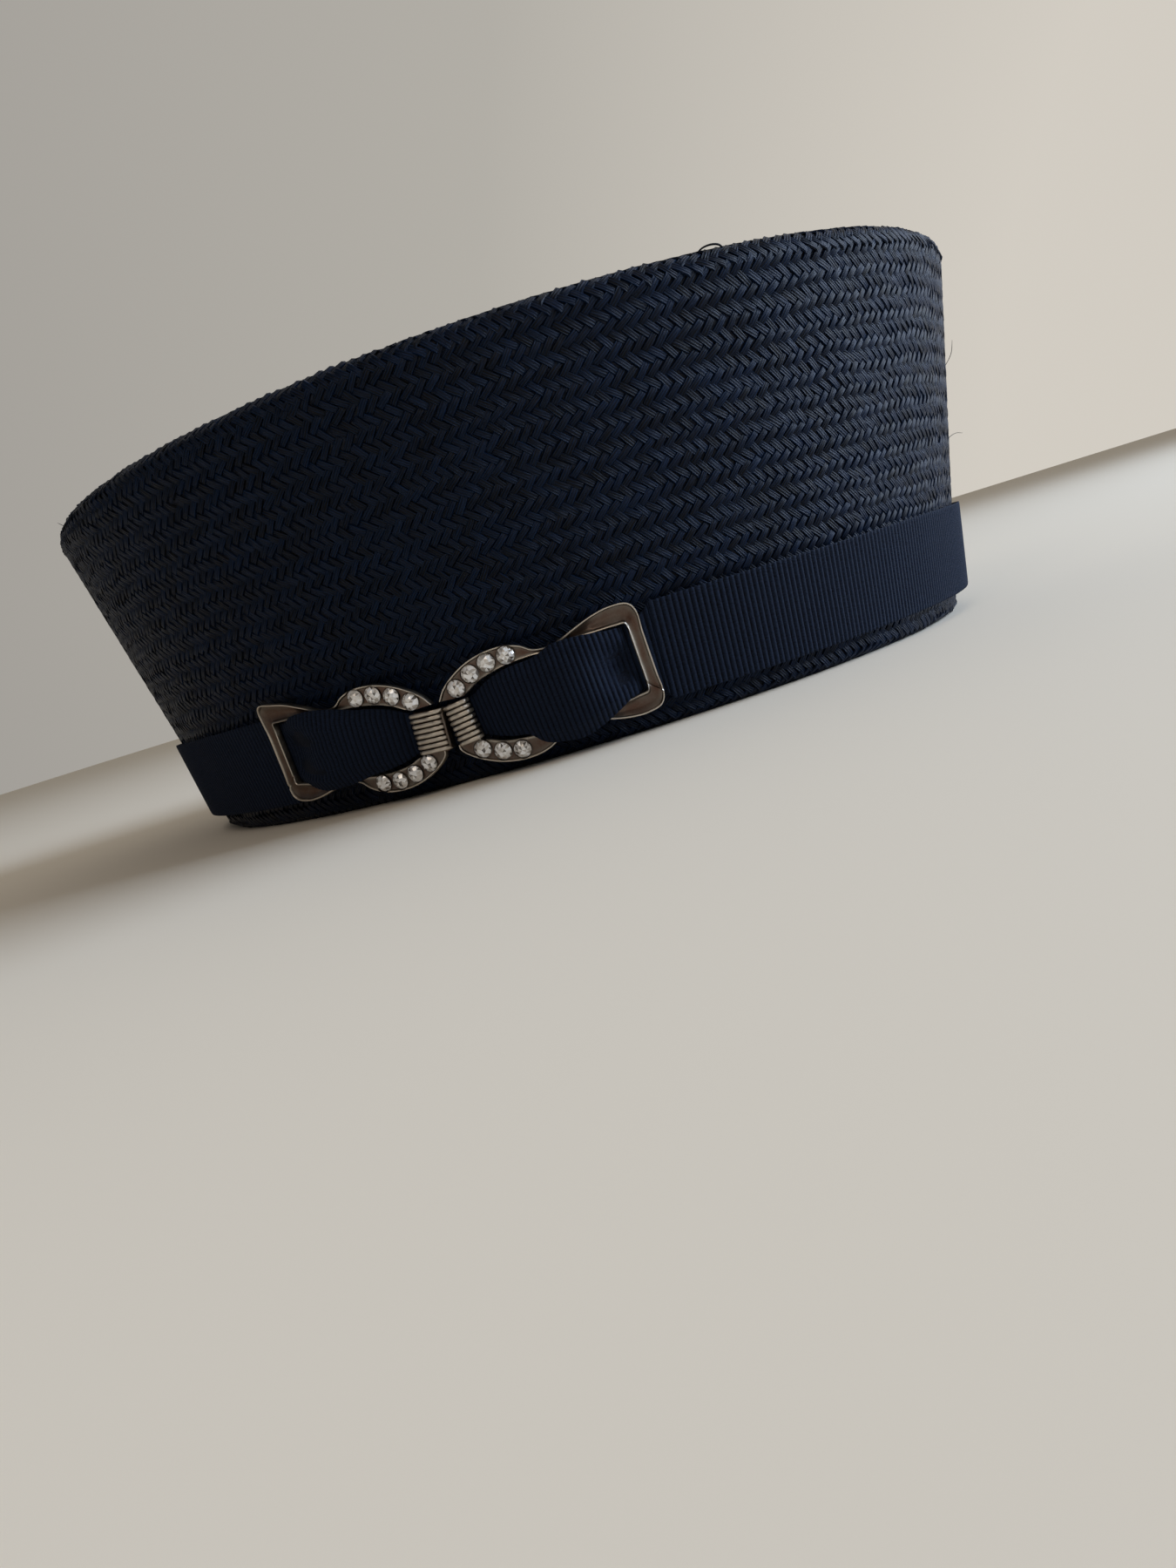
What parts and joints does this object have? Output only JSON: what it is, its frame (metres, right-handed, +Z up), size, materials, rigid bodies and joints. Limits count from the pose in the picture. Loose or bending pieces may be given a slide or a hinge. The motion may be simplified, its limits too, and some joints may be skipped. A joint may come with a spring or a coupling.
{
  "type": "pillbox hat",
  "caption": "Brimless oval hat of woven straw with outward leaning walls, a flat tip and a ribbed ribbon band drawn through two stone-set metal slides.",
  "frame": {"origin": "middle of the hat's outline seen from above, on the surface that its rim stands on", "axes": "+Z up from the rim to the tip, +X towards the front of the hat, -Y towards the side with the slides"},
  "size_m": [0.2346, 0.2026, 0.0848],
  "materials": {
    "straw": "woven matte",
    "grosgrain": "ribbed matte",
    "gunmetal": "satin, aged",
    "crystal": "cut and polished"
  },
  "bodies": {
    "root": {"crown": "straw", "ribbon_band": "grosgrain", "slide_front": "gunmetal", "stone_front_upper_1": "crystal", "stone_front_upper_2": "crystal", "stone_front_upper_3": "crystal", "stone_front_upper_4": "crystal", "stone_front_lower_1": "crystal", "stone_front_lower_2": "crystal", "stone_front_lower_3": "crystal", "slide_rear": "gunmetal", "stone_rear_upper_1": "crystal", "stone_rear_upper_2": "crystal", "stone_rear_upper_3": "crystal", "stone_rear_upper_4": "crystal", "stone_rear_lower_1": "crystal", "stone_rear_lower_2": "crystal", "stone_rear_lower_3": "crystal", "stone_rear_lower_4": "crystal"}
  },
  "joints": []
}
